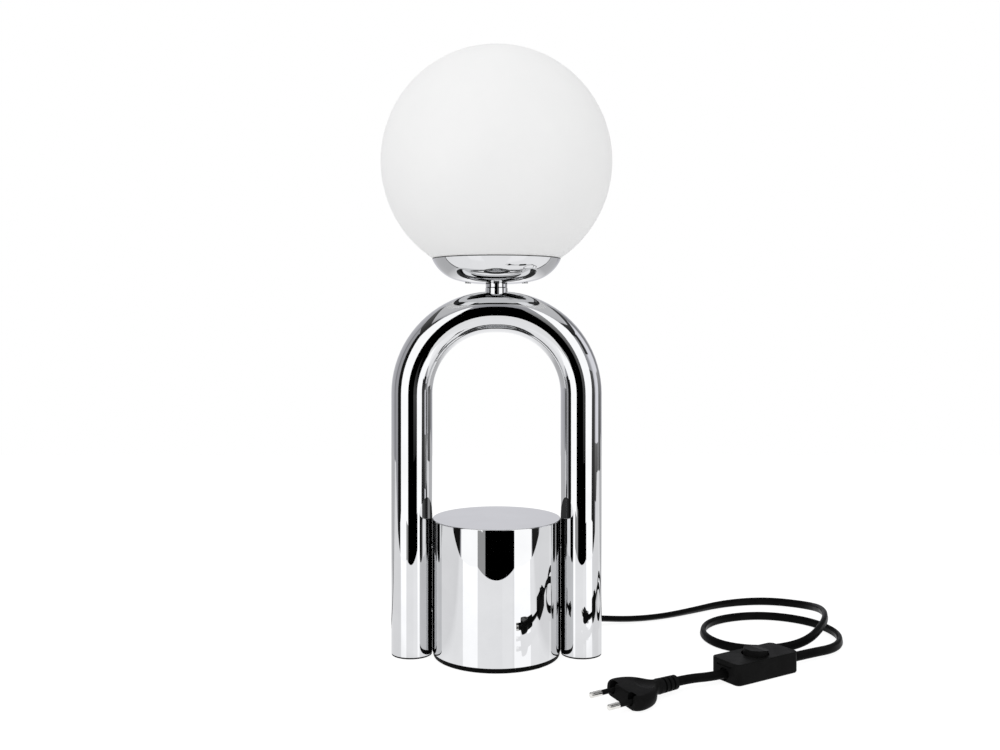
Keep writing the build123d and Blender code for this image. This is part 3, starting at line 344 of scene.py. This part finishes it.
opal_glass = new_finish("opal_glass", {
    "Subsurface Weight": 0.2,
    "Subsurface Radius": (0.01, 0.01, 0.01),
    "Specular IOR Level": 0.3,
})
lay_effect(opal_glass, grain, {
    "Grain scale": 1100.0,
    "Patch scale": 14.0,
    "Colour": (0.9, 0.9, 0.9, 1.0),
    "Rubbed": (0.92, 0.92, 0.918, 1.0),
    "Smoothest": 0.5,
    "Roughest": 0.6,
}, relief_depth=0.00003, relief_strength=0.15)
dress(opal_glass, "globe")


# Rim bead: a thin bead in the black rubber finish, laid on the dish's cut edge just clear of the
# glass.
# It is painted shade: a fine dark line between dish and globe, where the gap's shadow falls.

SHADE_BEAD_RING_RADIUS = 0.0498
SHADE_BEAD_HEIGHT = 0.30775
SHADE_BEAD_SECTION = 0.00032
SHADE_BEAD_RING_STEPS = 144
BEAD_STEPS = 10

shade_bead_points = []
shade_bead_faces = []
for step in range(SHADE_BEAD_RING_STEPS):
    turn = 2 * math.pi * step / SHADE_BEAD_RING_STEPS
    next_step = (step + 1) % SHADE_BEAD_RING_STEPS
    for corner in range(BEAD_STEPS):
        tilt = 2 * math.pi * corner / BEAD_STEPS
        next_corner = (corner + 1) % BEAD_STEPS
        reach = SHADE_BEAD_RING_RADIUS + SHADE_BEAD_SECTION * math.cos(tilt)
        height = SHADE_BEAD_HEIGHT + SHADE_BEAD_SECTION * math.sin(tilt)
        shade_bead_points.append((reach * math.cos(turn), reach * math.sin(turn), height))
        shade_bead_faces.append((
            step * BEAD_STEPS + corner, next_step * BEAD_STEPS + corner,
            next_step * BEAD_STEPS + next_corner, step * BEAD_STEPS + next_corner,
        ))
shade_bead_mesh = bpy.data.meshes.new("rim_shade_bead")
shade_bead_mesh.from_pydata(shade_bead_points, [], shade_bead_faces)
shade_bead_mesh.shade_smooth()
shade_bead_mesh.materials.append(pad_rubber)
rim_shade_bead = bpy.data.objects.new("rim_shade_bead", shade_bead_mesh)
bpy.context.scene.collection.objects.link(rim_shade_bead)
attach(rim_shade_bead, "lamp")


# Gland and inner lead: a black moulded grommet with a ribbed sleeve, at the back of the right leg.
# The lead runs on from it inside the tube, up the leg and into the nipple.

black_plastic = new_finish("black_plastic", {"Specular IOR Level": 0.02})
lay_effect(black_plastic, grain, {
    "Grain scale": 1500.0,
    "Patch scale": 60.0,
    "Colour": (0.006, 0.006, 0.006, 1.0),
    "Rubbed": (0.009, 0.009, 0.009, 1.0),
    "Smoothest": 0.34,
    "Roughest": 0.46,
}, relief_depth=0.00006, relief_strength=0.35)
dress(black_plastic, "cord_gland")

cord_sheath = new_finish("cord_sheath", {"Specular IOR Level": 0.025})
lay_effect(cord_sheath, grain, {
    "Grain scale": 700.0,
    "Patch scale": 110.0,
    "Colour": (0.003, 0.003, 0.003, 1.0),
    "Rubbed": (0.0055, 0.0055, 0.0055, 1.0),
    "Smoothest": 0.24,
    "Roughest": 0.36,
}, relief_depth=0.00004, relief_strength=0.25)
dress(cord_sheath, "inner_lead")


# In-line switch: a tray and a lid let into its rim, moulded in black plastic with a fine grain.
# A round rocker tips on two trunnions in the lid; screws, terminals and blade sit inside.

dress(black_plastic, "switch_tray", "switch_lid", "switch_rocker")
dress(zinc_steel, "switch_screws")
dress(brass, "switch_terminals", "switch_contact")


# Plug: a flat two-pin plug moulded on the cord, with a grooved bend relief behind it.
# The pins are nickel-plated brass, with black sleeves at their roots.

dress(black_plastic, "plug_body", "plug_sleeves")
dress(nickel, "plug_pins")


# Flex: flat twin cord in a black plastic sheath, 7 mm by 4.4 mm, free on the table.
# It leaves the gland, makes one loose loop and a half to the switch, then a short run to the plug.

FLEX_WIDTH = 0.007
FLEX_THICKNESS = 0.0044
FLEX_EDGE_STEPS = 12

flex_section = bpy.data.curves.new("flex_section", "CURVE")
flex_section.dimensions = "2D"
outline = flex_section.splines.new("POLY")
edge_radius = FLEX_THICKNESS / 2
edge_offset = FLEX_WIDTH / 2 - edge_radius
corners = []
for side in (1, -1):
    for step in range(FLEX_EDGE_STEPS + 1):
        angle = side * math.pi / 2 + math.pi * (step / FLEX_EDGE_STEPS - 0.5)
        corners.append((
            edge_radius * math.cos(angle),
            side * edge_offset + edge_radius * math.sin(angle),
        ))
outline.points.add(len(corners) - 1)
for point, (across, along) in zip(outline.points, corners):
    point.co = (across, along, 0.0, 1.0)
outline.use_cyclic_u = True
flex_profile = bpy.data.objects.new("flex_profile", flex_section)


def lay_flex(name, route):
    """Flat cord on one smooth line; each point gives a place in metres and a lean in degrees."""
    line = bpy.data.curves.new(name, "CURVE")
    line.dimensions = "3D"
    line.twist_mode = "Z_UP"
    line.resolution_u = 12
    line.bevel_mode = "OBJECT"
    line.bevel_object = flex_profile
    line.use_fill_caps = True
    run = line.splines.new("NURBS")
    run.points.add(len(route) - 1)
    for point, (x, y, z, lean) in zip(run.points, route):
        point.co = (x, y, z, 1.0)
        point.tilt = math.radians(lean)
    run.order_u = 3
    run.use_endpoint_u = True
    flex = bpy.data.objects.new(name, line)
    bpy.context.scene.collection.objects.link(flex)
    line.materials.append(cord_sheath)
    return flex


lamp_flex = lay_flex("lamp_flex", [
    (0.0661, 0.036, 0.012, 60),
    (0.0661, 0.0535, 0.012, 60),
    (0.0738, 0.0685, 0.0085, 60),
    (0.088, 0.078, 0.005, 60),
    (0.115, 0.083, 0.003, 60),
    (0.142, 0.091, 0.003, 58),
    (0.17, 0.108, 0.0031, 48),
    (0.206, 0.133, 0.0034, 25),
    (0.246, 0.142, 0.0035, 10),
    (0.277, 0.117, 0.006, 10),
    (0.279, 0.072, 0.0135, 10),
    (0.267, 0.034, 0.0135, 10),
    (0.243, 0.005, 0.006, 10),
    (0.207, -0.006, 0.0035, 10),
    (0.176, 0.007, 0.0035, 10),
    (0.166, 0.042, 0.0035, 10),
    (0.184, 0.079, 0.0035, 10),
    (0.228, 0.096, 0.0035, 10),
    (0.267, 0.077, 0.0035, 10),
    (0.281, 0.038, 0.0035, 10),
    (0.268, 0.001, 0.004, 10),
    (0.236219, -0.021119, 0.006, 20),
    (0.215017, -0.034367, 0.006, 20),
])
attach(lamp_flex, "lamp")
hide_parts("lamp_cord")

plug_flex = lay_flex("plug_flex", [
    (0.164983, -0.065633, 0.006, 60),
    (0.154382, -0.072257, 0.006, 60),
    (0.135306, -0.080288, 0.007125, 60),
    (0.124918, -0.087242, 0.007125, 60),
])
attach(plug_flex, "lamp")
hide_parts("plug_cord")


# Table: a glossy white sheet that the lamp stands on, ending a forearm's length in front of it.
# To the camera it is the plain white ground; the chrome shows it grey, with the lights in its gloss.

SHEET_IOR = 1.6
FRONT_TONE = (1.07, 1.07, 1.08, 1.0)
FRONT_GRAZED_TONE = (0.92, 0.92, 0.93, 1.0)
REAR_TONE = (1.1, 1.1, 1.11, 1.0)
REAR_SIDE_TONE = (0.56, 0.56, 0.57, 1.0)
SECOND_MIRROR_TONE = (1.0, 1.0, 1.005, 1.0)
# The rear edge's skew and bow, and the place and half width of the painted shadow line along it.
REAR_EDGE_SKEW = -0.1
REAR_EDGE_BOW = -0.35
SHADOW_LINE_PLACE = 0.055
SHADOW_LINE_HALF_WIDTH = 0.014
SIDE_SPREAD = 0.5
ONE_MIRROR = 1.5
THREE_MIRRORS = 3.5


def grey(tone):
    """Neutral colour of one tone."""
    return (tone, tone, tone, 1.0)


def stage_mesh(name, corners, finish):
    """Flat piece of the set, from its corners in order."""
    mesh = bpy.data.meshes.new(name)
    mesh.from_pydata(corners, [], [tuple(range(len(corners)))])
    mesh.materials.append(finish)
    piece = bpy.data.objects.new(name, mesh)
    bpy.context.scene.collection.objects.link(piece)
    return piece


table_white = bpy.data.materials.new("table_white")
table_white.use_nodes = True
tree = table_white.node_tree
tree.nodes.clear()
ray = add_node(tree, "LightPath", {}).outputs
glow = add_node(tree, "Emission", {"Color": grey(1.0), "Strength": 0.9}).outputs[0]
shaded = add_node(tree, "BsdfDiffuse", {"Color": grey(0.2)}).outputs[0]
seen = add_node(tree, "AddShader", {0: glow, 1: shaded}).outputs[0]
lit = add_node(tree, "Emission", {"Color": grey(1.0), "Strength": 0.86}).outputs[0]
place = add_node(tree, "NewGeometry", {}).outputs["Position"]
along = add_node(tree, "SeparateXYZ", {0: place}).outputs
aside = reckon(tree, "ABSOLUTE", along["X"])
skewed = reckon(tree, "MULTIPLY_ADD", along["X"], REAR_EDGE_SKEW, along["Y"])
bowed = reckon(tree, "MULTIPLY_ADD", aside, REAR_EDGE_BOW, skewed)
behind = grow(tree, bowed, 0.06, 0.08)
# Painted shadow line: a thin dark band in the sheet's reflected tone, along the edge of its rear
# part.
shadow_line = reckon(tree, "COMPARE", bowed, SHADOW_LINE_PLACE, SHADOW_LINE_HALF_WIDTH)
rear = two_tone(tree, grow(tree, aside, 0.1, 0.3), REAR_TONE, REAR_SIDE_TONE)
slant = add_node(tree, "Fresnel", {"IOR": SHEET_IOR}).outputs[0]
grazed = grow(tree, slant, 0.07, 0.2)
spread = reckon(tree, "MULTIPLY_ADD", aside, SIDE_SPREAD, along["Y"])
dimmed = reckon(tree, "MULTIPLY", grow(tree, spread, 0.0, 0.03), grazed)
front = two_tone(tree, dimmed, FRONT_TONE, FRONT_GRAZED_TONE)
sheet_tone = two_tone(tree, behind, front, rear)
sheet_tone = two_tone(tree, shadow_line, sheet_tone, grey(0.2))
# From the second reflection on, the sheet is plain white. From the fourth reflection on, it is black:
# painted shade for the shadowed spaces between the lamp's parts.
twice = reckon(tree, "GREATER_THAN", ray["Glossy Depth"], ONE_MIRROR)
often = reckon(tree, "GREATER_THAN", ray["Glossy Depth"], THREE_MIRRORS)
sheet_tone = two_tone(tree, twice, sheet_tone, SECOND_MIRROR_TONE)
sheet_tone = two_tone(tree, often, sheet_tone, grey(0.0))
sheet = add_node(tree, "Emission", {"Color": sheet_tone, "Strength": 1.0}).outputs[0]
gloss = add_node(tree, "BsdfGlossy", {"Color": slant, "Roughness": 0.03}).outputs[0]
mirrored = add_node(tree, "AddShader", {0: sheet, 1: gloss}).outputs[0]
direct = add_node(tree, "MixShader", {0: ray["Is Camera Ray"], 1: lit, 2: seen}).outputs[0]
whole = add_node(tree, "MixShader", {0: ray["Is Glossy Ray"], 1: direct, 2: mirrored}).outputs[0]
add_node(tree, "OutputMaterial", {"Surface": whole})

half_outline = [(0.2, -0.33), (0.38, -0.19), (0.56, -0.1), (1.2, 0.1), (1.2, 1.2)]
outline = [(x, y, 0.0) for x, y in half_outline]
outline += [(-x, y, 0.0) for x, y in reversed(half_outline)]
stage_mesh("table", outline, table_white)


# Light panels and flags: two big white panels in front of the lamp, left and right of the camera.
# Dark and grey cards stand between and beside them. They show in reflections alone.

PANEL_Y = -0.494
CARD_Y = -1.116
CARD_REACH = 1.1
PANEL_TONE = 1.4
EVERY_MIRROR = 9


def panel(name, corners, foot_tone, head_tone, deepest=EVERY_MIRROR):
    """Upright card whose tone runs from foot to head; it shows down to a depth of reflections."""
    finish = bpy.data.materials.new(name)
    finish.use_nodes = True
    tree = finish.node_tree
    tree.nodes.clear()
    place = add_node(tree, "NewGeometry", {}).outputs["Position"]
    height = add_node(tree, "SeparateXYZ", {0: place}).outputs["Z"]
    foot = min(z for x, y, z in corners)
    head = max(z for x, y, z in corners)
    tone = two_tone(tree, grow(tree, height, foot, head), grey(foot_tone), grey(head_tone))
    mirrors = add_node(tree, "LightPath", {}).outputs["Glossy Depth"]
    shown = reckon(tree, "LESS_THAN", mirrors, deepest + 0.5)
    shine = add_node(tree, "Emission", {"Color": tone, "Strength": shown}).outputs[0]
    add_node(tree, "OutputMaterial", {"Surface": shine})
    card = stage_mesh(name, corners, finish)
    card.visible_camera = False
    card.visible_diffuse = False
    card.visible_transmission = False
    card.visible_shadow = False


def box(left, right, bottom, top):
    """Corners of a plain card, across and up."""
    return [(left, bottom), (right, bottom), (right, top), (left, top)]


def facing(distance, corners):
    """Places for a card that stands square to the camera; its corners are across and up."""
    return [(x, distance, z) for x, z in corners]


def round_lamp(corners):
    """Places for a card on the ring round the lamp; its corners are bearings from ahead, and up."""
    return [
        (CARD_REACH * math.sin(math.radians(angle)), -CARD_REACH * math.cos(math.radians(angle)), z)
        for angle, z in corners
    ]


panel("left_wing", facing(PANEL_Y, [
    (-0.305, 0.006), (-0.211, 0.006), (-0.211, 0.2), (-0.132, 0.43), (-0.12, 0.66), (-0.305, 0.692),
]), PANEL_TONE, PANEL_TONE, deepest=1)
panel("right_wing", facing(PANEL_Y, [
    (0.288, 0.006), (0.288, 0.83), (0.21, 0.81), (0.226, 0.43), (0.252, 0.2), (0.252, 0.006),
]), PANEL_TONE, PANEL_TONE, deepest=1)
panel("left_light", facing(PANEL_Y, [
    (-0.98, -0.35), (-0.305, -0.35), (-0.305, 0.692), (-0.85, 0.787), (-0.85, -0.05), (-0.98, -0.09),
]), PANEL_TONE, PANEL_TONE, deepest=2)
panel("right_light", facing(PANEL_Y, [
    (0.288, -0.35), (0.98, -0.35), (0.98, -0.09), (0.76, -0.05),
    (0.88, 0.2), (0.98, 0.45), (0.98, 1.0), (0.288, 0.83),
]), PANEL_TONE, PANEL_TONE, deepest=2)
panel("left_frame", facing(PANEL_Y, [
    (-0.98, 0.815), (-0.45, 0.722), (-0.45, 0.83), (-0.98, 1.1),
]), 0.05, 0.05)
panel("left_card", round_lamp([
    (-80, -0.16), (-66, -0.16), (-65, -0.09), (-54, -0.08), (-54, 0.97), (-80, 0.97),
]), 0.01, 0.01)
panel("right_card", round_lamp([
    (50, -0.08), (64, -0.09), (65, -0.16), (79, -0.16), (79, 0.4), (50, 0.4),
]), 0.01, 0.12)
panel("right_flag", round_lamp(box(74, 92, 0.62, 0.97)), 0.04, 0.04)
panel("side_flag", round_lamp(box(106, 128, -0.05, 0.36)), 0.05, 0.4)
panel("side_card", round_lamp(box(77, 104, -0.05, 0.05)), 0.08, 0.2)
panel("left_valance", round_lamp([
    (-135, 1.32), (-98, 1.1), (-62, 0.86), (-45, 0.88),
    (-45, 1.02), (-62, 1.14), (-98, 1.34), (-135, 1.52),
]), 0.01, 0.18)
panel("right_valance", round_lamp([
    (45, 0.9), (75, 0.9), (100, 1.02), (143, 1.12), (143, 1.4), (90, 1.22), (45, 1.11),
]), 0.02, 0.1)
panel("low_card", facing(CARD_Y, [
    (-1.0, -1.2), (1.0, -1.2), (1.0, -0.33), (0.35, -0.215),
    (0.0, -0.193), (-0.35, -0.215), (-1.0, -0.33),
]), 1.05, 1.05)
panel("front_card", facing(CARD_Y - 0.01, box(-1.0, 1.0, -0.4, 0.88)), 0.0, 0.0)
panel("dim_card", facing(CARD_Y, box(0.2, 1.0, 0.0, 0.876)), 0.02, 0.4)
panel("grey_card", facing(CARD_Y - 0.005, box(-0.733, -0.388, -0.4, -0.1)), 0.4, 0.4)


# Room: white behind the table, softly lit all round.
# The chrome sees it as pale grey walls, lighter and darker by turns, under a grey ceiling.

WALL_TONES = [
    (-180, 0.74), (-150, 0.6), (-112, 0.5), (-105, 0.25), (-97, 0.42), (-75, 0.42), (75, 0.4),
    (90, 0.95), (118, 0.95), (128, 0.28), (140, 0.26), (152, 0.5), (180, 0.74),
]
WALL_BLUE = 1.05
CEILING_TONE = (0.65, 0.65, 0.66, 1.0)

room = bpy.data.worlds.new("room")
bpy.context.scene.world = room
room.use_nodes = True
tree = room.node_tree
tree.nodes.clear()
ray = add_node(tree, "LightPath", {}).outputs
heading = add_node(tree, "TexCoord", {}).outputs["Generated"]
aim = add_node(tree, "SeparateXYZ", {0: heading}).outputs
ahead = reckon(tree, "MULTIPLY", aim["Y"], -1.0)
bearing = reckon(tree, "ARCTAN2", aim["X"], ahead)
walls_round = add_node(tree, "ValToRGB", {"Fac": grow(tree, bearing, -math.pi, math.pi)})
stops = walls_round.color_ramp.elements
for angle, tone in WALL_TONES[1:-1]:
    stops.new(angle / 360 + 0.5)
for stop, (angle, tone) in zip(stops, WALL_TONES):
    stop.position = angle / 360 + 0.5
    stop.color = (tone, tone, WALL_BLUE * tone, 1.0)
overhead = grow(tree, aim["Z"], 0.64, 0.74)
wall_tone = two_tone(tree, overhead, walls_round.outputs["Color"], CEILING_TONE)
# Painted shade: from the second reflection on, the walls go nearly black, for the shadowed spaces
# between the lamp's parts.
deeper = reckon(tree, "GREATER_THAN", ray["Glossy Depth"], ONE_MIRROR)
wall_tone = two_tone(tree, deeper, wall_tone, grey(0.05))
soft = add_node(tree, "Background", {"Color": grey(1.0), "Strength": 0.885}).outputs[0]
walls = add_node(tree, "Background", {"Color": wall_tone, "Strength": 1.0}).outputs[0]
white = add_node(tree, "Background", {"Color": grey(1.0), "Strength": 1.0}).outputs[0]
unseen = add_node(tree, "MixShader", {0: ray["Is Glossy Ray"], 1: soft, 2: walls}).outputs[0]
whole = add_node(tree, "MixShader", {0: ray["Is Camera Ray"], 1: unseen, 2: white}).outputs[0]
add_node(tree, "OutputWorld", {"Surface": whole})


# Key light: one broad soft light, high up in front of the lamp and to its left.
# It shades the globe gently towards the lower right, and the chrome doesn't show it.

KEY_PLACE = (-0.7, -1.1, 1.5)
KEY_TARGET = (0.0, 0.0, 0.3)

key_lamp = bpy.data.lights.new("key_light", "AREA")
key_lamp.size = 1.0
key_lamp.energy = 3.8
key_light = bpy.data.objects.new("key_light", key_lamp)
key_light.location = KEY_PLACE
away = [start - end for start, end in zip(KEY_PLACE, KEY_TARGET)]
lean = math.atan2(math.hypot(away[0], away[1]), away[2])
swing = math.atan2(away[1], away[0]) + math.pi / 2
key_light.rotation_euler = (lean, 0.0, swing)
key_light.visible_glossy = False
bpy.context.scene.collection.objects.link(key_light)


# Camera: level, at the height of the arch's crown and some 0.8 m in front of it.
# The lens is shifted down to frame the table.

PHOTO_WIDTH = 1000
FOCAL_PIXELS = 1058
SHIFT_PIXELS = -54.6
CAMERA_PLACE = (0.00273, -0.82656, 0.25984)

lens = bpy.data.cameras.new("camera")
lens.sensor_width = 36.0
lens.lens = FOCAL_PIXELS / PHOTO_WIDTH * lens.sensor_width
lens.shift_y = SHIFT_PIXELS / PHOTO_WIDTH
camera = bpy.data.objects.new("camera", lens)
camera.location = CAMERA_PLACE
camera.rotation_euler = (math.pi / 2, 0.0, 0.0)
bpy.context.scene.collection.objects.link(camera)
bpy.context.scene.camera = camera
bpy.context.scene.view_settings.view_transform = "Standard"
